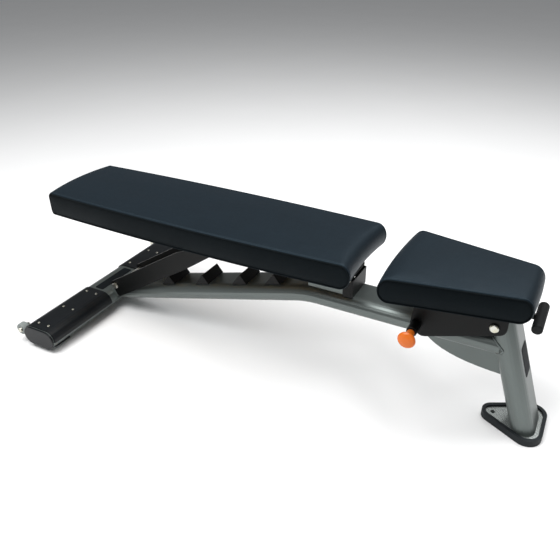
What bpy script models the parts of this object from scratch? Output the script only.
"""Adjustable weight bench: ladder-supported backrest, tilting seat, wheeled cross foot.

Metres, +Z up. +X runs from the head end to the knee end, -Y is the side with the pull pin.
The origin is on the floor, under the middle of the whole bench.
"""
import math

import bmesh
import bpy
from mathutils import Matrix, Vector

# ---------------------------------------------------------------- fits
TOUCH = 0.0003            # gap left between two pieces that touch
RUNNING = 0.0003          # radial gap of a turning pin in its hole

# ---------------------------------------------------------------- overall layout
CROSS_LENGTH = 0.690      # cross tube, end to end along Y
BEAM_RUN = 0.770          # from the cross tube's axis to the bend in the main beam
LEVEL_RUN = 0.540         # level part of the beam, from the bend to the leg
BEAM_Z = 0.261            # height of the level beam's centre line
PAD_BASE_Z = 0.362        # underside of the backrest pad
SEAT_BASE_Z = 0.366       # underside of the seat pad
PAD_TOP_Z = 0.436         # flat top of both pads

# ---------------------------------------------------------------- cross foot
CROSS_WIDTH = 0.118
CROSS_HEIGHT = 0.060
CROSS_WALL = 0.003
FOOT_HEIGHT = 0.015
FOOT_SIZE = (0.060, 0.065)
FOOT_INSET = 0.058        # from the tube's end to the middle of a rubber foot
COVER_WALL = 0.0035
COVER_INNER_Y = 0.086     # bare middle of the cross tube, half its length
CAP_FLANGE = 0.006
CAP_PLUG = 0.014
WHEEL_RADIUS = 0.019
WHEEL_WIDTH = 0.022
WHEEL_AXLE_RADIUS = 0.005
WHEEL_SIDE_GAP = 0.001
WHEEL_TUBE_GAP = 0.005
WHEEL_Z = 0.046
WHEEL_PLATE = 0.004

# ---------------------------------------------------------------- main beam and leg
BEAM_WIDTH = 0.120
BEAM_HEIGHT = 0.052
BEAM_WALL = 0.003
BEAM_HEAD_X = 0.045       # start of the beam, from the cross tube's axis
BEAM_HEAD_RISE = 0.0155   # beam's centre line above the cross tube's, at its start
BEND_RADIUS = 0.300
LEG_DEPTH = 0.060
LEG_WIDTH = 0.120
LEG_RAKE = math.radians(18.4)
LEG_TOP_Z = 0.3475
LEG_CAP = 0.004
GUSSET_THICKNESS = 0.008
GUSSET_LENGTH = 0.200
GUSSET_DEPTH = 0.088
PLATE_THICKNESS = 0.008
PLATE_TIP_RADIUS = 0.020
PLATE_HEEL_RADIUS = 0.030
PLATE_LENGTH = 0.095      # between the centres of the tip's and the heel's arcs
PLATE_HEEL_Y = 0.038
PLATE_HOLE_RADIUS = 0.0065
BOOT_BASE = 0.006
BOOT_RIM = 0.010
BOOT_HEIGHT = 0.020

# ---------------------------------------------------------------- ladder
TOOTH_ENDS = (0.304, 0.436, 0.573, 0.687)   # seat-side foot of each tooth, from the cross tube's axis
TOOTH_LENGTH = 0.052
TOOTH_HEIGHT = 0.032
TOOTH_LEAN = 0.014        # from the seat-side foot back to the crest
TOOTH_WIDTH = 0.084

# ---------------------------------------------------------------- backrest and its hinge
HINGE_FROM_BEND = 0.127
RAIL_HEIGHT = 0.026
RAIL_WIDTH = 0.020
RAIL_Y = 0.028
RAIL_HEAD_X = 0.300
BAR_THICKNESS = 0.005
BAR_LENGTH = 0.220
BAR_WIDTH = 0.040
BAR_XS = (0.340, 0.800)
HINGE_BOLT_RADIUS = 0.006
HINGE_TUBE_RADIUS = 0.0095
EAR_Y = 0.045
EAR_THICKNESS = 0.006
EAR_RADIUS = 0.0135
WEB_THICKNESS = 0.006
WEB_WIDTH = 0.096
WEB_GAP = 0.010           # from the hinge axis to the web's head-side face
WEB_HEIGHT = 0.053
UPSTAND_LENGTH = 0.105
UPSTAND_MARGIN = 0.020    # from each side of the beam to the upstand
UPSTAND_HEIGHT = 0.033
UPSTAND_WALL = 0.005
UPSTAND_FROM_HINGE = 0.015
BUFFER_RADIUS = 0.009
BOARD_THICKNESS = 0.012
BOARD_INSET = 0.014       # from the pad's sides
BOARD_CORNER = 0.020
NOSE_DEPTH = 0.010        # of the backrest's blunt head end, along X
NOSE_LENGTH = 0.030       # of the other rounded ends
PAD_ROUNDING = 0.006
BACK_HEAD_X = 0.072       # the pad's head corners, beyond the cross tube's axis
BACK_END_FROM_HINGE = 0.040
BACK_HALF_WIDTHS = (0.135, 0.147, 0.134)    # head end, middle, seat end
BACK_HEAD_BOW = 0.016
BACK_SEAT_DIP = 0.010

# ---------------------------------------------------------------- strut
STRUT_FROM_HINGE = 0.407  # along the rails
STRUT_FOOT_X = 0.073      # the cross pin at rest, from the cross tube's axis
STRUT_CLEARANCE = 0.002   # between the beam and each strut plate
STRUT_THICKNESS = 0.006
STRUT_EYE_RADIUS = 0.0135
STRUT_TOP_EDGES = (0.018, 0.031)     # above the line of pivots, at the foot and at the shoulder
STRUT_LOW_EDGES = (0.040, 0.027)     # below it
STRUT_SHOULDER = 0.330
STRUT_END_MARGIN = 0.014
STRUT_CORNER = 0.010
STRUT_PIN_RADIUS = 0.0055
ROLLER_RADIUS = 0.007
ROLLER_LIFT = 0.001
STRUT_BOLT_RADIUS = 0.008
SPACER_RADIUS = 0.012
BRACE_RADIUS = 0.010
BRACE_AT = 0.250

# ---------------------------------------------------------------- seat
SEAT_PIVOT_FROM_END = 0.021   # hip-wards of the level beam's end
SEAT_PIVOT_Z = 0.325
SEAT_LENGTH = 0.357
SEAT_KNEE_FROM_PIVOT = 0.080
SEAT_HALF_WIDTHS = (0.151, 0.118, 0.085)    # hip end, middle, knee end
SEAT_HIP_BOW = 0.009
SEAT_KNEE_BOW = 0.003
SIDE_THICKNESS = 0.006
SIDE_CLEARANCE = 0.0013   # between the side plates and the wider of beam and leg
SIDE_BACK = 0.193         # hip-side edge of the side plates, from the pivot
SIDE_FRONT = 0.027
SEAT_BOLT_RADIUS = 0.008
BOLT_HEAD_RADIUS = 0.0115
BOLT_HEAD_HEIGHT = 0.007
SEAT_PLATE = 0.005
PIN_BACK = 0.190          # pull pin's axis, hip-wards of the seat pivot
PIN_DROP = 0.048          # and below it
PIN_RADIUS = 0.006
PIN_STEM_RADIUS = 0.005
PIN_COLLAR_RADIUS = 0.0095
HOUSING_RADIUS = 0.014
HOUSING_LENGTH = 0.042
HOUSING_NECK = 0.004
KNOB_RADIUS = 0.0235
KNOB_STEM_RADIUS = 0.0105
KNOB_LENGTH = 0.043
SPRING_WIRE = 0.0006
SPRING_TURNS = 7
INDEX_ANGLES = (0.0, 5.0, 10.0)   # degrees of tilt that the beam's side holes lock

# ---------------------------------------------------------------- lifting handle
HANDLE_FROM_PIVOT = 0.093
HANDLE_Z = 0.343
HANDLE_BAR_RADIUS = 0.0105
GRIP_RADIUS = 0.0135
GRIP_LENGTH = 0.059
GRIP_INNER_Y = TOUCH / 2
HANDLE_STEM_RADIUS = 0.008
GRIP_END = 0.004

# ---------------------------------------------------------------- places worked out from the sizes
WHEEL_X_OFFSET = CROSS_WIDTH / 2 + WHEEL_TUBE_GAP + WHEEL_RADIUS
CROSS_Z = FOOT_HEIGHT + CROSS_HEIGHT / 2
LEG_AXIS_X = BEAM_RUN + LEVEL_RUN + 0.014    # where the leg's axis meets the beam's centre height
HEEL_X = LEG_AXIS_X + 0.093                  # centres of the foot plate's heel arcs
BACK_REACH = -(WHEEL_X_OFFSET + WHEEL_RADIUS)
KNEE_REACH = HEEL_X + PLATE_HEEL_RADIUS + BOOT_RIM
CROSS_X = -(BACK_REACH + KNEE_REACH) / 2     # centres the bench's box on X = 0
BEAM_SLOPE = math.atan2(BEAM_Z - CROSS_Z - BEAM_HEAD_RISE, BEAM_RUN - BEAM_HEAD_X)
BEAM_TOP_Z = BEAM_Z + BEAM_HEIGHT / 2
BEND_X = CROSS_X + BEAM_RUN
HINGE_X = BEND_X + HINGE_FROM_BEND
HINGE_Z = PAD_BASE_Z - TOUCH - BAR_THICKNESS - TOUCH - RAIL_HEIGHT / 2
SEAT_PIVOT_X = BEND_X + LEVEL_RUN - SEAT_PIVOT_FROM_END
SIDE_Y = max(BEAM_WIDTH, LEG_WIDTH) / 2 + SIDE_CLEARANCE + SIDE_THICKNESS / 2
PIN_X = SEAT_PIVOT_X - PIN_BACK
PIN_Z = SEAT_PIVOT_Z - PIN_DROP
UPSTAND_WIDTH = BEAM_WIDTH - 2 * UPSTAND_MARGIN
STRUT_Y = BEAM_WIDTH / 2 + STRUT_CLEARANCE + STRUT_THICKNESS / 2
STRUT_TOP = Vector((HINGE_X - STRUT_FROM_HINGE, HINGE_Z))
HANDLE_X = SEAT_PIVOT_X + HANDLE_FROM_PIVOT
SIDES = {"near": -1, "far": 1}

PARTS = None              # collection of the bench's pieces
CUTTERS = None            # collection of the shapes that cut them


# ================================================================ outlines
def arc(centre, radius, start, stop, steps):
    """Points on an arc, both ends included; angles in radians."""
    points = []
    for index in range(steps + 1):
        angle = start + (stop - start) * index / steps
        points.append((centre[0] + radius * math.cos(angle), centre[1] + radius * math.sin(angle)))
    return points


def circle(centre, radius, steps=24):
    """A full circle, counter-clockwise."""
    return arc(centre, radius, 0.0, 2 * math.pi, steps)[:-1]


def belt(circles, step=math.radians(18)):
    """Outline of a belt stretched counter-clockwise round circles given as (x, y, radius)."""
    angles = []
    for index, (x1, y1, r1) in enumerate(circles):
        x2, y2, r2 = circles[(index + 1) % len(circles)]
        distance = math.hypot(x2 - x1, y2 - y1)
        angles.append(math.atan2(y2 - y1, x2 - x1) - math.acos((r1 - r2) / distance))
    points = []
    for index, (x, y, radius) in enumerate(circles):
        start = angles[index - 1]
        sweep = (angles[index] - start) % (2 * math.pi)
        steps = max(1, round(sweep / step))
        points.extend(arc((x, y), radius, start, start + sweep, steps))
    return points


def flat_oval(centre, width, height, step=math.radians(15)):
    """A wide oval with two straight sides and half-round ends."""
    radius = height / 2
    reach = width / 2 - radius
    return belt([(centre[0] - reach, centre[1], radius), (centre[0] + reach, centre[1], radius)], step)


def rectangle(centre, width, height):
    """Four corners, counter-clockwise."""
    x, y = centre
    return [(x - width / 2, y - height / 2), (x + width / 2, y - height / 2),
            (x + width / 2, y + height / 2), (x - width / 2, y + height / 2)]


def fillet(before, corner, after, radius, steps=5):
    """Arc that replaces a sharp corner."""
    corner = Vector(corner)
    first = (Vector(before) - corner).normalized()
    second = (Vector(after) - corner).normalized()
    half = first.angle(second) / 2
    middle = (first + second).normalized()
    centre = corner + middle * (radius / math.sin(half))
    turn = math.pi - 2 * half
    away = math.atan2(-middle.y, -middle.x)
    sign = 1 if first.cross(second) < 0 else -1
    return arc(centre, radius, away - sign * turn / 2, away + sign * turn / 2, steps)


def half_width_at(half_widths, share):
    """Half the width of a barrelled pad at a share of its length; sizes are head end, middle, tail end."""
    head, middle, tail = half_widths
    return (head * (1 - share) * (1 - 2 * share) + middle * 4 * share * (1 - share)
            + tail * share * (2 * share - 1))


def board_outline(ends, half_widths):
    """Plan of a board between two X ends, with barrelled sides and rounded corners."""
    low, high = ends
    steps = 6
    shares = [index / steps for index in range(steps + 1)]
    near = [(low + (high - low) * share, -half_width_at(half_widths, share)) for share in shares]
    corners = near + [(x, -y) for x, y in reversed(near)]
    points = []
    for index, point in enumerate(corners):
        if index % (steps + 1) in (0, steps):
            after = corners[(index + 1) % len(corners)]
            points.extend(fillet(corners[index - 1], point, after, BOARD_CORNER))
        else:
            points.append(point)
    return points


def pad_block(name, ends, noses, half_widths, bows, base):
    """Mesh of a pad lofted across its width: its top runs over two rounded ends that may bow.

    A bow is how far the middle of an end lies towards -X of its corners.
    """
    low, high = ends
    length, half_height = high - low, (PAD_TOP_Z - base) / 2
    profile = []
    for turn, share, sign in ((-90, 1.0, 1), (90, 0.0, -1)):
        for step in range(9):
            angle = math.radians(turn + step * 22.5)
            forward = noses[int(share)] * (abs(math.cos(angle)) - 1.0)
            profile.append((share, sign * forward, base + half_height * (1 + math.sin(angle))))
        level = PAD_TOP_Z if share else base
        for step in range(1, 6):
            across = step / 6
            profile.append((1 - across if share else across, 0.0, level))
    rings = []
    for v in (-1.0, -0.75, -0.4, 0.0, 0.4, 0.75, 1.0):
        bulge = 1 - v * v
        ring = []
        for share, forward, z in profile:
            bow = bows[0] * (1 - share) + bows[1] * share
            x = low + length * share + forward
            wide = half_width_at(half_widths, (x - low) / length)
            ring.append((x - bow * bulge, v * wide, z))
        rings.append(ring)
    block = bmesh.new()
    rows = [[block.verts.new(point) for point in ring] for ring in rings]
    count = len(profile)
    for first, second in zip(rows, rows[1:]):
        for index in range(count):
            following = (index + 1) % count
            block.faces.new((first[index], first[following], second[following], second[index]))
    for row in (rows[0], rows[-1]):
        block.faces.new(row)
    bmesh.ops.recalc_face_normals(block, faces=block.faces)
    mesh = bpy.data.meshes.new(name)
    block.to_mesh(mesh)
    block.free()
    return mesh


# ================================================================ solids
def finish(name, colour, roughness, metallic=0.0):
    """A plain Principled material; colour is linear RGB."""
    material = bpy.data.materials.new(name)
    material.use_nodes = True
    shader = material.node_tree.nodes["Principled BSDF"]
    shader.inputs["Base Color"].default_value = (*colour, 1.0)
    shader.inputs["Roughness"].default_value = roughness
    shader.inputs["Metallic"].default_value = metallic
    return material


def add_part(name, mesh, material):
    """Puts a mesh in the bench's collection as one named piece."""
    part = bpy.data.objects.new(name, mesh)
    PARTS.objects.link(part)
    part.data.materials.clear()
    part.data.materials.append(material)
    return part


def add_cutter(name, mesh):
    """Puts a mesh in the cutters' collection."""
    cutter = bpy.data.objects.new(name, mesh)
    CUTTERS.objects.link(cutter)
    cutter.display_type = 'WIRE'
    cutter.hide_render = True
    return cutter


TURNS = {
    "XY": Matrix.Identity(3),
    "XZ": Matrix(((1, 0, 0), (0, 0, -1), (0, 1, 0))),
    "YZ": Matrix(((0, 0, 1), (1, 0, 0), (0, 1, 0))),
}


def slab(name, plane, outline, span, holes=()):
    """Mesh of an outline in a plane, extruded between two values of the third coordinate."""
    curve = bpy.data.curves.new(name, 'CURVE')
    curve.dimensions = '2D'
    curve.fill_mode = 'BOTH'
    curve.extrude = abs(span[1] - span[0]) / 2
    for loop in (outline, *holes):
        spline = curve.splines.new('POLY')
        spline.points.add(len(loop) - 1)
        for point, (u, v) in zip(spline.points, loop):
            point.co = (u, v, 0.0, 1.0)
        spline.use_cyclic_u = True
    holder = bpy.data.objects.new(name, curve)
    CUTTERS.objects.link(holder)
    mesh = evaluated_mesh(holder, name)
    bpy.data.curves.remove(curve)
    normal = TURNS[plane] @ Vector((0, 0, 1))
    centre = sum(span) / 2 * Vector([abs(value) for value in normal])
    mesh.transform(Matrix.Translation(centre) @ TURNS[plane].to_4x4())
    return mesh


def evaluated_mesh(holder, name):
    """The welded mesh of an object as its modifiers leave it; the object is removed."""
    bpy.context.view_layer.update()
    graph = bpy.context.evaluated_depsgraph_get()
    mesh = bpy.data.meshes.new_from_object(holder.evaluated_get(graph))
    mesh.name = name
    if holder.type == 'MESH':
        bpy.data.meshes.remove(holder.data)
    else:
        bpy.data.objects.remove(holder)
    welded = bmesh.new()
    welded.from_mesh(mesh)
    bmesh.ops.remove_doubles(welded, verts=welded.verts, dist=0.00001)
    bmesh.ops.recalc_face_normals(welded, faces=welded.faces)
    welded.to_mesh(mesh)
    welded.free()
    return mesh


def turned(name, profile, axis_point, segments=20):
    """Mesh turned about an axis along Y; profile is (radius, y) and runs up the outer side.

    A profile that starts and ends on radius 0 is solid; one that closes on itself is a ring.
    """
    mesh = bpy.data.meshes.new(name)
    ring = profile[0][0] > 0
    count = len(profile)
    edges = [(i, i + 1) for i in range(count - 1)]
    if ring:
        edges.append((count - 1, 0))
    mesh.from_pydata([(radius, 0.0, y) for radius, y in profile], edges, [])
    holder = bpy.data.objects.new(name, mesh)
    CUTTERS.objects.link(holder)
    screw = holder.modifiers.new("Turn", 'SCREW')
    screw.steps = segments
    screw.render_steps = segments
    screw.use_merge_vertices = True
    screw.merge_threshold = 0.00001
    turned_mesh = evaluated_mesh(holder, name)
    lay_down = Matrix(((1, 0, 0), (0, 0, 1), (0, -1, 0))).to_4x4()
    turned_mesh.transform(Matrix.Translation((axis_point[0], 0.0, axis_point[1])) @ lay_down)
    turned_mesh.shade_smooth()
    turned_mesh.set_sharp_from_angle(angle=math.radians(30))
    return turned_mesh


def rod(radius, low, high):
    """Profile of a plain round bar along Y."""
    return [(0.0, low), (radius, low), (radius, high), (0.0, high)]


def sleeve(outer, inner, low, high):
    """Profile of a round tube along Y."""
    return [(inner, low), (outer, low), (outer, high), (inner, high)]


def through_bolt(radius, half_grip, head_radius, head_height):
    """Profile of a bolt along Y with its head and its nut outside a grip of twice half_grip."""
    out = half_grip + head_height
    side = [(0.0, -out), (head_radius * 0.8, -out), (head_radius, -out + head_height * 0.3),
            (head_radius, -half_grip), (radius, -half_grip)]
    return side + [(r, -y) for r, y in reversed(side)]


def cut(part, cutter):
    """Takes one shape out of a piece."""
    modifier = part.modifiers.new("Cut " + cutter.name, 'BOOLEAN')
    modifier.operation = 'DIFFERENCE'
    modifier.solver = 'EXACT'
    modifier.object = cutter


def join(part, cutter):
    """Adds one shape to a piece."""
    modifier = part.modifiers.new("Join " + cutter.name, 'BOOLEAN')
    modifier.operation = 'UNION'
    modifier.solver = 'EXACT'
    modifier.object = cutter


def soften(part, width, segments=2):
    """Rounds a piece's edges."""
    bevel = part.modifiers.new("Soft edges", 'BEVEL')
    bevel.width = width
    bevel.segments = segments
    bevel.limit_method = 'ANGLE'
    bevel.angle_limit = math.radians(50)


def pivot(name, location, pieces):
    """An empty on a joint's axis that carries the pieces that turn or slide there."""
    empty = bpy.data.objects.new(name, None)
    empty.location = location
    empty.empty_display_size = 0.03
    PARTS.objects.link(empty)
    for piece in pieces:
        piece.parent = empty
        piece.matrix_parent_inverse = Matrix.Translation(location).inverted()
    return empty


# ================================================================ places
def beam_top(x):
    """Height of the beam's top surface at a place on X."""
    if x >= BEND_X:
        return BEAM_TOP_Z
    drop = (BEND_X - x) * math.tan(BEAM_SLOPE)
    return BEAM_Z - drop + BEAM_HEIGHT / 2 / math.cos(BEAM_SLOPE)


def leg_x(z):
    """The raked leg's axis at a height."""
    return CROSS_X + LEG_AXIS_X + (BEAM_Z - z) * math.tan(LEG_RAKE)


def strut_foot():
    """The cross pin's axis at rest: its roller lies just above the beam."""
    x = CROSS_X + STRUT_FOOT_X
    return Vector((x, beam_top(x) + ROLLER_RADIUS / math.cos(BEAM_SLOPE) + ROLLER_LIFT))


def along_strut(s, t):
    """A place at s from the cross pin along the strut, and t above its line of pivots."""
    foot = strut_foot()
    forward = (STRUT_TOP - foot).normalized()
    return foot + forward * s + Vector((-forward.y, forward.x)) * t


# ================================================================ cross foot
def cross_oval(grow=0.0):
    """The cross tube's section, grown all round."""
    return flat_oval((CROSS_X, CROSS_Z), CROSS_WIDTH + 2 * grow, CROSS_HEIGHT + 2 * grow)


def make_cross_tube(steel):
    """Flat-oval tube across the head end."""
    half = CROSS_LENGTH / 2
    mesh = slab("cross_tube", "XZ", cross_oval(), (-half, half), [cross_oval(-CROSS_WALL)])
    return add_part("cross_tube", mesh, steel)


def make_step_cover(side, plastic):
    """Half shell over the top of the cross tube, from its bare middle to its end."""
    sign = SIDES[side]
    name = "step_cover_" + side
    spans = sorted((sign * COVER_INNER_Y, sign * (CROSS_LENGTH / 2 - 0.002)))
    outer = cross_oval(COVER_WALL)
    mesh = slab(name, "XZ", outer, spans, [cross_oval(TOUCH)])
    cover = add_part(name, mesh, plastic)
    below = rectangle((CROSS_X, CROSS_Z - CROSS_HEIGHT - 0.004), CROSS_WIDTH * 2, CROSS_HEIGHT * 2)
    cut(cover, add_cutter(name + "_under", slab(name + "_under", "XZ", below,
                                                (spans[0] - 0.01, spans[1] + 0.01))))
    return cover


def make_end_cap(side, plastic):
    """Plug with a flange that closes one end of the cross tube."""
    sign = SIDES[side]
    name = "cross_cap_" + side
    end = CROSS_LENGTH / 2
    flange = sorted((sign * (end + TOUCH), sign * (end + TOUCH + CAP_FLANGE)))
    cap = add_part(name, slab(name, "XZ", cross_oval(), flange), plastic)
    plug = sorted((sign * (end - CAP_PLUG), sign * (end + TOUCH + CAP_FLANGE / 2)))
    join(cap, add_cutter(name + "_plug", slab(name + "_plug", "XZ", cross_oval(-CROSS_WALL - TOUCH), plug)))
    return cap


def make_foot(side, rubber):
    """Rubber block under one end of the cross tube."""
    name = "cross_foot_" + side
    centre = (CROSS_X, SIDES[side] * (CROSS_LENGTH / 2 - FOOT_INSET))
    across, along = FOOT_SIZE[0] / 2 - 0.006, FOOT_SIZE[1] / 2 - 0.006
    corners = [(centre[0] + u * across, centre[1] + v * along, 0.006)
               for u, v in ((-1, -1), (1, -1), (1, 1), (-1, 1))]
    mesh = slab(name, "XY", belt(corners, math.radians(30)), (0.0, FOOT_HEIGHT - TOUCH))
    foot = add_part(name, mesh, rubber)
    tube = add_cutter(name + "_seat", slab(name + "_seat", "XZ", cross_oval(TOUCH), sorted(
        (centre[1] - FOOT_SIZE[1], centre[1] + FOOT_SIZE[1]))))
    cut(foot, tube)
    return foot


def make_wheel_set(side, steel, tyre, zinc):
    """Transport wheel on a plate welded to the head side of the cross tube."""
    sign = SIDES[side]
    x = CROSS_X - WHEEL_X_OFFSET
    outer = CROSS_LENGTH / 2 - 0.002
    inner = outer - WHEEL_WIDTH
    plate_out = inner - WHEEL_SIDE_GAP
    plate_in = plate_out - WHEEL_PLATE
    name = "wheel_plate_" + side
    shape = belt([(x, WHEEL_Z, 0.010), (CROSS_X - CROSS_WIDTH / 2 + 0.012, CROSS_Z, 0.014)])
    hole = circle((x, WHEEL_Z), WHEEL_AXLE_RADIUS + TOUCH)
    span = sorted((sign * plate_in, sign * plate_out))
    plate = add_part(name, slab(name, "XZ", shape, span, [hole]), steel)
    cope = slab(name + "_cope", "XZ", cross_oval(COVER_WALL + TOUCH), (-CROSS_LENGTH, CROSS_LENGTH))
    cut(plate, add_cutter(name + "_cope", cope))
    bore = WHEEL_AXLE_RADIUS + 0.0001
    tread = [(bore, inner), (WHEEL_RADIUS - 0.002, inner), (WHEEL_RADIUS, inner + 0.003),
             (WHEEL_RADIUS, outer - 0.003), (WHEEL_RADIUS - 0.002, outer), (bore, outer)]
    head = outer + WHEEL_SIDE_GAP
    shank = [(0.0, plate_in - 0.006), (0.0085, plate_in - 0.006), (0.0085, plate_in - TOUCH),
             (WHEEL_AXLE_RADIUS, plate_in - TOUCH), (WHEEL_AXLE_RADIUS, head), (0.0085, head),
             (0.0070, head + 0.004), (0.0, head + 0.004)]
    flip = [(radius, sign * y) for radius, y in tread][::sign]
    wheel = add_part("wheel_" + side, turned("wheel_" + side, flip, (x, WHEEL_Z), 32), tyre)
    flip = [(radius, sign * y) for radius, y in shank][::sign]
    add_part("wheel_bolt_" + side, turned("wheel_bolt_" + side, flip, (x, WHEEL_Z)), zinc)
    return pivot("wheel_axis_" + side, (x, 0.0, WHEEL_Z), [wheel])


# ================================================================ main beam and leg
def beam_path():
    """Centre line of the beam in X and Z: up the slope, round the bend, level to the leg."""
    start = (CROSS_X + BEAM_HEAD_X, BEAM_Z - (BEAM_RUN - BEAM_HEAD_X) * math.tan(BEAM_SLOPE))
    corner = (BEND_X, BEAM_Z)
    end = (BEND_X + LEVEL_RUN, BEAM_Z)
    return [start, *fillet(start, corner, end, BEND_RADIUS, 6), end]


def make_beam(steel):
    """Bent flat-oval tube, coped round the cross tube and the leg, with the seat's index holes."""
    section = bpy.data.curves.new("beam_section", 'CURVE')
    section.dimensions = '2D'
    ring = flat_oval((0, 0), BEAM_WIDTH, BEAM_HEIGHT)
    spline = section.splines.new('POLY')
    spline.points.add(len(ring) - 1)
    for point, (u, v) in zip(spline.points, ring):
        point.co = (u, v, 0.0, 1.0)
    spline.use_cyclic_u = True
    section_holder = bpy.data.objects.new("beam_section", section)
    CUTTERS.objects.link(section_holder)

    path = bpy.data.curves.new("main_beam", 'CURVE')
    path.dimensions = '3D'
    path.twist_mode = 'Z_UP'
    path.bevel_mode = 'OBJECT'
    path.bevel_object = section_holder
    places = beam_path()
    line = path.splines.new('POLY')
    line.points.add(len(places) - 1)
    for point, (x, z) in zip(line.points, places):
        point.co = (x, 0.0, z, 1.0)
    holder = bpy.data.objects.new("main_beam", path)
    CUTTERS.objects.link(holder)
    skin = evaluated_mesh(holder, "main_beam")
    bpy.data.objects.remove(section_holder)

    beam = add_part("main_beam", skin, steel)
    wall = beam.modifiers.new("Wall", 'SOLIDIFY')
    wall.thickness = BEAM_WALL
    wall.offset = -1.0
    cope = slab("beam_head_cope", "XZ", cross_oval(TOUCH), (-BEAM_WIDTH, BEAM_WIDTH))
    cut(beam, add_cutter("beam_head_cope", cope))
    cut(beam, add_cutter("beam_leg_cope", leg_solid("beam_leg_cope", TOUCH, 0.0, LEG_TOP_Z + 0.01)))
    for index, angle in enumerate(INDEX_ANGLES):
        place = index_hole(math.radians(angle))
        name = f"index_hole_{index + 1}"
        hole = turned(name, rod(PIN_RADIUS + RUNNING, -BEAM_WIDTH, -BEAM_WIDTH / 4), place)
        cut(beam, add_cutter(name, hole))
    return beam


def index_hole(angle):
    """Where the pull pin points when the seat is tilted, in X and Z."""
    back, drop = -PIN_BACK, -PIN_DROP
    return (SEAT_PIVOT_X + back * math.cos(angle) - drop * math.sin(angle),
            SEAT_PIVOT_Z + back * math.sin(angle) + drop * math.cos(angle))


def leg_solid(name, grow, low, high, wall=0.0):
    """The raked flat-oval leg between two heights, grown all round; a wall makes it a tube."""
    across = LEG_DEPTH / math.cos(LEG_RAKE)

    def section(extra):
        ring = flat_oval((0, 0), LEG_WIDTH + 2 * extra, LEG_DEPTH + 2 * extra)
        squeeze = across / LEG_DEPTH
        return [(-v * squeeze, u) for u, v in ring]

    holes = [section(grow - wall)] if wall else []
    mesh = slab(name, "XY", section(grow), (low, high), holes)
    shear = Matrix.Identity(4)
    shear[0][2] = -math.tan(LEG_RAKE)
    shear[0][3] = leg_x(0.0)
    mesh.transform(shear)
    return mesh


def make_leg(steel, plastic):
    """Leg tube with its top plug; the seat's pivot bolt passes through it."""
    base = BOOT_BASE + PLATE_THICKNESS + TOUCH
    leg = add_part("leg_tube", leg_solid("leg_tube", 0.0, base, LEG_TOP_Z, BEAM_WALL), steel)
    bolt = turned("leg_bolt_hole", rod(SEAT_BOLT_RADIUS + TOUCH, -LEG_WIDTH, LEG_WIDTH),
                  (SEAT_PIVOT_X, SEAT_PIVOT_Z))
    cut(leg, add_cutter("leg_bolt_hole", bolt))
    cap = leg_solid("leg_cap", 0.0, LEG_TOP_Z + TOUCH, LEG_TOP_Z + LEG_CAP)
    add_part("leg_cap", cap, plastic)


def foot_outline(grow):
    """Rounded triangle that points to the head end, grown all round."""
    heel = CROSS_X + HEEL_X
    tip = (heel - PLATE_LENGTH, 0.0, PLATE_TIP_RADIUS + grow)
    return belt([tip, (heel, -PLATE_HEEL_Y, PLATE_HEEL_RADIUS + grow),
                 (heel, PLATE_HEEL_Y, PLATE_HEEL_RADIUS + grow)], math.radians(12))


def make_leg_foot(steel, rubber):
    """Steel foot plate that sits in a rubber boot."""
    hole = circle((CROSS_X + HEEL_X - PLATE_LENGTH, 0.0), PLATE_HOLE_RADIUS)
    top = BOOT_BASE + PLATE_THICKNESS
    plate = slab("foot_plate", "XY", foot_outline(0.0), (BOOT_BASE, top), [hole])
    add_part("foot_plate", plate, steel)
    boot = slab("foot_boot", "XY", foot_outline(BOOT_RIM), (0.0, BOOT_HEIGHT))
    boot = add_part("foot_boot", boot, rubber)
    pocket = slab("boot_pocket", "XY", foot_outline(TOUCH), (BOOT_BASE - TOUCH, BOOT_HEIGHT + 0.01))
    cut(boot, add_cutter("boot_pocket", pocket))


def make_gusset(steel):
    """Curved plate in the corner under the beam, in front of the leg."""
    top = BEAM_Z - BEAM_HEIGHT / 2 - TOUCH
    low = top - GUSSET_DEPTH
    back = CROSS_X + LEG_AXIS_X - LEG_DEPTH / 2 - GUSSET_LENGTH
    start, bend, end = Vector((back, top)), Vector((back + 0.040, low)), Vector((leg_x(low), low))
    edge = []
    for index in range(13):
        t = index / 12
        edge.append(tuple(start * (1 - t) ** 2 + bend * 2 * t * (1 - t) + end * t * t))
    outline = edge + [(leg_x(top), top)]
    half = GUSSET_THICKNESS / 2
    gusset = add_part("gusset_plate", slab("gusset_plate", "XZ", outline, (-half, half)), steel)
    cut(gusset, add_cutter("gusset_cope", leg_solid("gusset_cope", TOUCH, 0.0, BEAM_Z)))


# ================================================================ ladder
def make_tooth(number, end, black):
    """Wedge across the beam's slope that stops the strut's roller."""
    slope = Vector((math.cos(BEAM_SLOPE), math.sin(BEAM_SLOPE)))
    up = Vector((-slope.y, slope.x))
    foot = Vector((CROSS_X + end, beam_top(CROSS_X + end))) + up * TOUCH
    crest = foot - slope * TOOTH_LEAN + up * TOOTH_HEIGHT
    toe = foot - slope * TOOTH_LENGTH
    outline = [tuple(toe), tuple(foot), *fillet(foot, crest, toe, 0.002, 3)]
    half = TOOTH_WIDTH / 2
    name = f"ladder_tooth_{number}"
    add_part(name, slab(name, "XZ", outline, (-half, half)), black)


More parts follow.
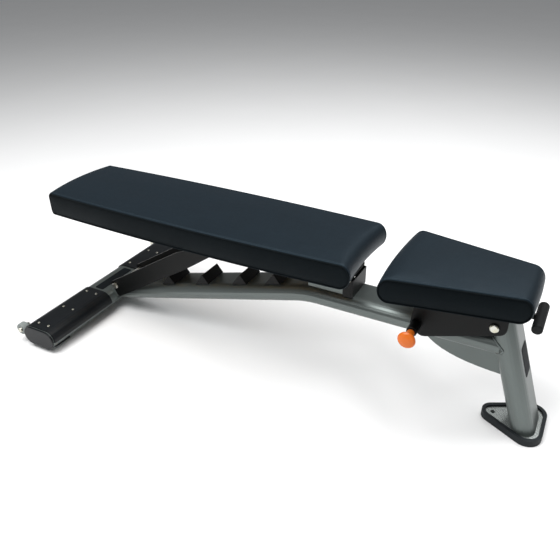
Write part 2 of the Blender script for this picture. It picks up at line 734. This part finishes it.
# ================================================================ backrest hinge
def make_hinge(steel, black, rubber, zinc):
    """Fixed side of the hinge: upstand with buffers, two ears and the web that joins them."""
    floor = BEAM_TOP_Z + TOUCH
    high = floor + UPSTAND_HEIGHT
    half = UPSTAND_WIDTH / 2
    inner = half - UPSTAND_WALL
    channel = [(-half, floor), (-inner, floor), (-inner, high - UPSTAND_WALL), (inner, high - UPSTAND_WALL),
               (inner, floor), (half, floor), (half, high), (-half, high)]
    seat_end = HINGE_X - UPSTAND_FROM_HINGE
    span = (seat_end - UPSTAND_LENGTH, seat_end)
    add_part("hinge_upstand", slab("hinge_upstand", "YZ", channel, span), steel)

    buffer_top = HINGE_Z - RAIL_HEIGHT / 2 - TOUCH
    for side, sign in SIDES.items():
        name = "rest_buffer_" + side
        disc = circle((seat_end - UPSTAND_LENGTH / 2, sign * RAIL_Y), BUFFER_RADIUS, 16)
        add_part(name, slab(name, "XY", disc, (high + TOUCH, buffer_top)), rubber)

        name = "hinge_ear_" + side
        back, front = HINGE_X - EAR_RADIUS, HINGE_X + WEB_GAP - TOUCH
        shape = belt([(back + 0.002, floor + 0.002, 0.002), (front - 0.002, floor + 0.002, 0.002),
                      (HINGE_X, HINGE_Z, EAR_RADIUS)])
        shape = [(min(x, front), z) for x, z in shape]
        hole = circle((HINGE_X, HINGE_Z), HINGE_BOLT_RADIUS + TOUCH)
        ear_span = sorted((sign * (EAR_Y - EAR_THICKNESS / 2), sign * (EAR_Y + EAR_THICKNESS / 2)))
        add_part(name, slab(name, "XZ", shape, ear_span, [hole]), black)

    web = rectangle((0.0, floor + WEB_HEIGHT / 2), WEB_WIDTH, WEB_HEIGHT)
    span = (HINGE_X + WEB_GAP, HINGE_X + WEB_GAP + WEB_THICKNESS)
    add_part("hinge_web", slab("hinge_web", "YZ", web, span), black)
    grip = EAR_Y + EAR_THICKNESS / 2 + TOUCH
    bolt = through_bolt(HINGE_BOLT_RADIUS, grip, 0.0095, 0.005)
    add_part("hinge_bolt", turned("hinge_bolt", bolt, (HINGE_X, HINGE_Z)), zinc)


# ================================================================ backrest
def make_backrest(black, wood, vinyl):
    """Rails, cross bars, board and pad that swing on the hinge."""
    pieces = []
    low, high = HINGE_Z - RAIL_HEIGHT / 2, HINGE_Z + RAIL_HEIGHT / 2
    rail_ends = (CROSS_X + RAIL_HEAD_X, HINGE_X - 0.002)
    for side, sign in SIDES.items():
        name = "backrest_rail_" + side
        outline = [(rail_ends[0], low), (rail_ends[1], low), (rail_ends[1], high), (rail_ends[0], high)]
        hole = circle(tuple(STRUT_TOP), STRUT_BOLT_RADIUS + RUNNING)
        span = sorted((sign * (RAIL_Y - RAIL_WIDTH / 2), sign * (RAIL_Y + RAIL_WIDTH / 2)))
        rail = add_part(name, slab(name, "XZ", outline, span, [hole]), black)
        cope = turned(name + "_cope", rod(HINGE_TUBE_RADIUS + TOUCH, -0.1, 0.1), (HINGE_X, HINGE_Z))
        cut(rail, add_cutter(name + "_cope", cope))
        pieces.append(rail)

    reach = EAR_Y - EAR_THICKNESS / 2 - 0.0005
    tube = sleeve(HINGE_TUBE_RADIUS, HINGE_BOLT_RADIUS + 0.0001, -reach, reach)
    pieces.append(add_part("hinge_tube", turned("hinge_tube", tube, (HINGE_X, HINGE_Z)), black))
    for number, place in enumerate(BAR_XS, 1):
        name = f"backrest_bar_{number}"
        bar = rectangle((CROSS_X + place, 0.0), BAR_WIDTH, BAR_LENGTH)
        span = (high + TOUCH, high + TOUCH + BAR_THICKNESS)
        pieces.append(add_part(name, slab(name, "XY", bar, span), black))

    ends = (CROSS_X - BACK_HEAD_X, HINGE_X + BACK_END_FROM_HINGE)
    noses = (NOSE_DEPTH, NOSE_LENGTH)
    bows = (BACK_HEAD_BOW, BACK_SEAT_DIP)
    pieces += make_pad("backrest", ends, noses, BACK_HALF_WIDTHS, bows, PAD_BASE_Z, (wood, vinyl))
    return pivot("backrest_axis", (HINGE_X, 0.0, HINGE_Z), pieces)


def make_pad(name, ends, noses, half_widths, bows, base, materials):
    """Plywood board let into the underside of a covered foam pad."""
    top = base + BOARD_THICKNESS
    reach = NOSE_LENGTH + BOARD_INSET
    board_ends = (ends[0] + reach, ends[1] - reach - max(bows[1], 0.0))

    def plan(grow):
        widths = [width - BOARD_INSET + grow for width in half_widths]
        return board_outline((board_ends[0] - grow, board_ends[1] + grow), widths)

    board = add_part(name + "_board", slab(name + "_board", "XY", plan(0.0), (base, top)), materials[0])
    block = pad_block(name + "_pad", ends, noses, half_widths, bows, base)
    pad = add_part(name + "_pad", block, materials[1])
    soften(pad, PAD_ROUNDING)
    pocket = slab(name + "_pocket", "XY", plan(TOUCH), (base - 0.01, top + TOUCH))
    cut(pad, add_cutter(name + "_pocket", pocket))
    return [board, pad]


# ================================================================ strut
def make_strut(black, zinc):
    """Two side plates that straddle the beam, joined by the roller pin, a brace and the pivot bolt."""
    pieces = []
    foot = strut_foot()
    length = (STRUT_TOP - foot).length
    r = STRUT_CORNER
    start = -STRUT_END_MARGIN + r
    spots = [(start, STRUT_TOP_EDGES[0] - r, r), (start, -STRUT_LOW_EDGES[0] + r, r),
             (STRUT_SHOULDER, -STRUT_LOW_EDGES[1] + r, r), (length, 0.0, STRUT_EYE_RADIUS),
             (STRUT_SHOULDER, STRUT_TOP_EDGES[1] - r, r)]
    circles = [(*along_strut(s, t), radius) for s, t, radius in spots]
    brace_at = tuple(along_strut(BRACE_AT, 0.0))
    holes = [circle(tuple(foot), STRUT_PIN_RADIUS + TOUCH),
             circle(tuple(STRUT_TOP), STRUT_BOLT_RADIUS + TOUCH)]
    inner = STRUT_Y - STRUT_THICKNESS / 2
    outer = STRUT_Y + STRUT_THICKNESS / 2
    for side, sign in SIDES.items():
        name = "strut_plate_" + side
        mesh = slab(name, "XZ", belt(circles), sorted((sign * inner, sign * outer)), holes)
        pieces.append(add_part(name, mesh, black))
        name = "strut_spacer_" + side
        low = RAIL_Y + RAIL_WIDTH / 2 + TOUCH
        span = sorted((sign * low, sign * (inner - TOUCH)))
        ring = sleeve(SPACER_RADIUS, STRUT_BOLT_RADIUS + TOUCH, *span)
        pieces.append(add_part(name, turned(name, ring, tuple(STRUT_TOP)), black))
    reach = inner - TOUCH
    roller = sleeve(ROLLER_RADIUS, STRUT_PIN_RADIUS + TOUCH, -reach, reach)
    pieces.append(add_part("strut_roller", turned("strut_roller", roller, tuple(foot)), zinc))
    brace = turned("strut_brace", rod(BRACE_RADIUS, -reach, reach), brace_at)
    pieces.append(add_part("strut_brace", brace, black))
    grip = outer + TOUCH
    pin = through_bolt(STRUT_PIN_RADIUS, grip, 0.0105, 0.005)
    pieces.append(add_part("strut_pin", turned("strut_pin", pin, tuple(foot)), zinc))
    bolt = through_bolt(STRUT_BOLT_RADIUS, grip, 0.0125, 0.006)
    pieces.append(add_part("strut_bolt", turned("strut_bolt", bolt, tuple(STRUT_TOP)), zinc))
    return pivot("strut_axis", (STRUT_TOP.x, 0.0, STRUT_TOP.y), pieces)


# ================================================================ seat
def make_seat(black, wood, vinyl, steel):
    """Side plates, top plate, board and pad that tilt on the bolt through the leg."""
    pieces = []
    high = SEAT_BASE_Z - TOUCH - SEAT_PLATE - TOUCH
    back, front = SEAT_PIVOT_X - SIDE_BACK, SEAT_PIVOT_X + SIDE_FRONT
    shape = belt([(back, high - 0.003, 0.003), (PIN_X, PIN_Z, 0.017), (PIN_X + 0.018, PIN_Z - 0.013, 0.020),
                  (SEAT_PIVOT_X + 0.008, SEAT_PIVOT_Z + 0.002, 0.022), (front, high - 0.003, 0.003)])
    bolt_hole = circle((SEAT_PIVOT_X, SEAT_PIVOT_Z), SEAT_BOLT_RADIUS + RUNNING)
    pin_hole = circle((PIN_X, PIN_Z), PIN_RADIUS + RUNNING)
    for side, sign in SIDES.items():
        name = "seat_side_" + side
        span = sorted((sign * (SIDE_Y - SIDE_THICKNESS / 2), sign * (SIDE_Y + SIDE_THICKNESS / 2)))
        holes = [bolt_hole, pin_hole] if side == "near" else [bolt_hole]
        pieces.append(add_part(name, slab(name, "XZ", shape, span, holes), black))
    across = 2 * SIDE_Y + SIDE_THICKNESS
    plate = rectangle(((back + front) / 2, 0.0), front - back, across)
    plate = slab("seat_plate", "XY", plate, (high + TOUCH, high + TOUCH + SEAT_PLATE))
    pieces.append(add_part("seat_plate", plate, black))

    knee = SEAT_PIVOT_X + SEAT_KNEE_FROM_PIVOT
    bows = (SEAT_HIP_BOW, -SEAT_KNEE_BOW)
    ends = (knee - SEAT_LENGTH, knee)
    noses = (NOSE_LENGTH, NOSE_LENGTH)
    pieces += make_pad("seat", ends, noses, SEAT_HALF_WIDTHS, bows, SEAT_BASE_Z, (wood, vinyl))

    low = SIDE_Y + SIDE_THICKNESS / 2 + TOUCH
    out = low + HOUSING_LENGTH
    neck = out - HOUSING_NECK
    bore, throat = PIN_COLLAR_RADIUS + RUNNING, PIN_STEM_RADIUS + RUNNING
    housing = [(bore, -neck), (throat, -neck), (throat, -out), (HOUSING_RADIUS - 0.001, -out),
               (HOUSING_RADIUS, -out + 0.001), (HOUSING_RADIUS, -low), (bore, -low)]
    housing = turned("pin_housing", housing[::-1], (PIN_X, PIN_Z), 24)
    pieces.append(add_part("pin_housing", housing, steel))
    return pivot("seat_axis", (SEAT_PIVOT_X, 0.0, SEAT_PIVOT_Z), pieces)


def make_seat_bolt(zinc):
    """Bolt through the leg and both side plates."""
    grip = SIDE_Y + SIDE_THICKNESS / 2 + 0.0005
    bolt = through_bolt(SEAT_BOLT_RADIUS, grip, BOLT_HEAD_RADIUS, BOLT_HEAD_HEIGHT)
    add_part("seat_bolt", turned("seat_bolt", bolt, (SEAT_PIVOT_X, SEAT_PIVOT_Z)), zinc)


def make_pull_pin(zinc, orange, spring_steel):
    """Plunger with its knob, and the spring that pushes it in."""
    inside = SIDE_Y - SIDE_THICKNESS / 2
    collar = SIDE_Y + SIDE_THICKNESS / 2 + 0.003
    out = SIDE_Y + SIDE_THICKNESS / 2 + TOUCH + HOUSING_LENGTH
    collar_end = collar + 0.004
    flange = out + TOUCH
    stem_end = out + 0.026
    plunger = [(0.0, -stem_end), (PIN_STEM_RADIUS, -stem_end), (PIN_STEM_RADIUS, -flange - 0.003),
               (0.0085, -flange - 0.003), (0.0085, -flange), (PIN_STEM_RADIUS, -flange),
               (PIN_STEM_RADIUS, -collar_end), (PIN_COLLAR_RADIUS, -collar_end),
               (PIN_COLLAR_RADIUS, -collar), (PIN_RADIUS, -collar), (PIN_RADIUS, -inside - 0.001),
               (PIN_RADIUS - 0.001, -inside), (0.0, -inside)]
    plunger = add_part("pull_pin", turned("pull_pin", plunger, (PIN_X, PIN_Z)), zinc)

    near = flange + 0.003 + TOUCH
    far = near + KNOB_LENGTH
    bore = PIN_STEM_RADIUS + TOUCH
    knob = [(0.0, -far), (KNOB_RADIUS * 0.45, -far + 0.001), (KNOB_RADIUS * 0.85, -far + 0.004),
            (KNOB_RADIUS, -far + 0.009), (KNOB_RADIUS * 0.94, -far + 0.013), (KNOB_STEM_RADIUS, -far + 0.018),
            (KNOB_STEM_RADIUS, -near), (bore, -near), (bore, -stem_end - 0.001), (0.0, -stem_end - 0.001)]
    knob = add_part("pull_knob", turned("pull_knob", knob, (PIN_X, PIN_Z), 32), orange)

    spring = bpy.data.curves.new("pin_spring", 'CURVE')
    spring.dimensions = '3D'
    spring.bevel_depth = SPRING_WIRE
    spring.bevel_resolution = 1
    spring.use_fill_caps = True
    line = spring.splines.new('POLY')
    per_turn = 12
    count = SPRING_TURNS * per_turn
    coil = (PIN_COLLAR_RADIUS + PIN_STEM_RADIUS) / 2
    low = collar_end + SPRING_WIRE + TOUCH
    high = out - HOUSING_NECK - SPRING_WIRE - TOUCH
    line.points.add(count)
    for index, point in enumerate(line.points):
        turn = 2 * math.pi * index / per_turn
        y = -(low + (high - low) * index / count)
        point.co = (PIN_X + coil * math.cos(turn), y, PIN_Z + coil * math.sin(turn), 1.0)
    holder = bpy.data.objects.new("pin_spring", spring)
    CUTTERS.objects.link(holder)
    add_part("pin_spring", evaluated_mesh(holder, "pin_spring"), spring_steel)
    return pivot("pull_pin_axis", (PIN_X, 0.0, PIN_Z), [plunger, knob])


# ================================================================ lifting handle
def make_handle(steel, rubber):
    """T handle behind the knee end: stem from the leg, cross bar and two closed grips."""
    centre = (HANDLE_X, HANDLE_Z)
    face = leg_x(HANDLE_Z) + LEG_DEPTH / 2
    stem = circle((0.0, HANDLE_Z), HANDLE_STEM_RADIUS, 20)
    stem = add_part("handle_stem", slab("handle_stem", "YZ", stem, (face - 0.012, HANDLE_X)), steel)
    cut(stem, add_cutter("stem_leg_cope", leg_solid("stem_leg_cope", TOUCH, 0.0, LEG_TOP_Z + 0.02)))
    cope = turned("stem_bar_cope", rod(HANDLE_BAR_RADIUS + TOUCH, -0.1, 0.1), centre)
    cut(stem, add_cutter("stem_bar_cope", cope))
    inner_end = GRIP_INNER_Y + GRIP_LENGTH - GRIP_END
    bar = rod(HANDLE_BAR_RADIUS, -inner_end + TOUCH, inner_end - TOUCH)
    add_part("handle_bar", turned("handle_bar", bar, centre), steel)
    bore = HANDLE_BAR_RADIUS + TOUCH
    opening = circle((0.0, HANDLE_Z), HANDLE_STEM_RADIUS + TOUCH, 20)
    opening = add_cutter("grip_stem_hole", slab("grip_stem_hole", "YZ", opening, (face, HANDLE_X)))
    for side, sign in SIDES.items():
        end = inner_end + GRIP_END
        grip = [(0.0, inner_end), (bore, inner_end), (bore, GRIP_INNER_Y), (GRIP_RADIUS, GRIP_INNER_Y),
                (GRIP_RADIUS, end - 0.003), (GRIP_RADIUS - 0.003, end), (0.0, end)]
        profile = [(radius, sign * y) for radius, y in grip][::sign]
        name = "handle_grip_" + side
        grip = add_part(name, turned(name, profile, centre, 24), rubber)
        cut(grip, opening)


# ================================================================ assembly
def clear_scene():
    """Empties the scene and makes the two collections."""
    global PARTS, CUTTERS
    for item in list(bpy.data.objects):
        bpy.data.objects.remove(item, do_unlink=True)
    PARTS = bpy.data.collections.new("adjustable_weight_bench")
    CUTTERS = bpy.data.collections.new("cutters")
    for collection in (PARTS, CUTTERS):
        bpy.context.scene.collection.children.link(collection)


def main():
    """Builds every sub-assembly."""
    clear_scene()
    silver = finish("silver_powder_coat", (0.26, 0.29, 0.29), 0.38, 0.55)
    black = finish("black_powder_coat", (0.018, 0.020, 0.022), 0.42)
    cover = finish("black_moulded_plastic", (0.016, 0.021, 0.027), 0.40)
    rubber = finish("black_rubber", (0.030, 0.037, 0.042), 0.70)
    tyre = finish("grey_wheel", (0.35, 0.37, 0.36), 0.55)
    zinc = finish("zinc_plated_steel", (0.60, 0.60, 0.58), 0.28, 1.0)
    vinyl = finish("black_vinyl", (0.022, 0.030, 0.037), 0.45)
    wood = finish("plywood", (0.42, 0.29, 0.16), 0.75)
    orange = finish("orange_plastic", (0.87, 0.21, 0.02), 0.42)

    make_cross_tube(silver)
    for side in SIDES:
        make_step_cover(side, cover)
        make_end_cap(side, cover)
        make_foot(side, rubber)
        make_wheel_set(side, silver, tyre, zinc)
    make_beam(silver)
    make_leg(silver, cover)
    make_leg_foot(silver, rubber)
    make_gusset(silver)
    for number, end in enumerate(TOOTH_ENDS, 1):
        make_tooth(number, end, black)
    make_hinge(silver, black, rubber, zinc)
    make_seat_bolt(zinc)
    make_handle(silver, rubber)

    backrest = make_backrest(black, wood, vinyl)
    strut = make_strut(black, zinc)
    strut.parent = backrest
    strut.matrix_parent_inverse = Matrix.Translation(backrest.location).inverted()
    seat = make_seat(black, wood, vinyl, black)
    pull_pin = make_pull_pin(zinc, orange, zinc)
    pull_pin.parent = seat
    pull_pin.matrix_parent_inverse = Matrix.Translation(seat.location).inverted()
    spring = bpy.data.objects["pin_spring"]
    spring.parent = seat
    spring.matrix_parent_inverse = Matrix.Translation(seat.location).inverted()


main()
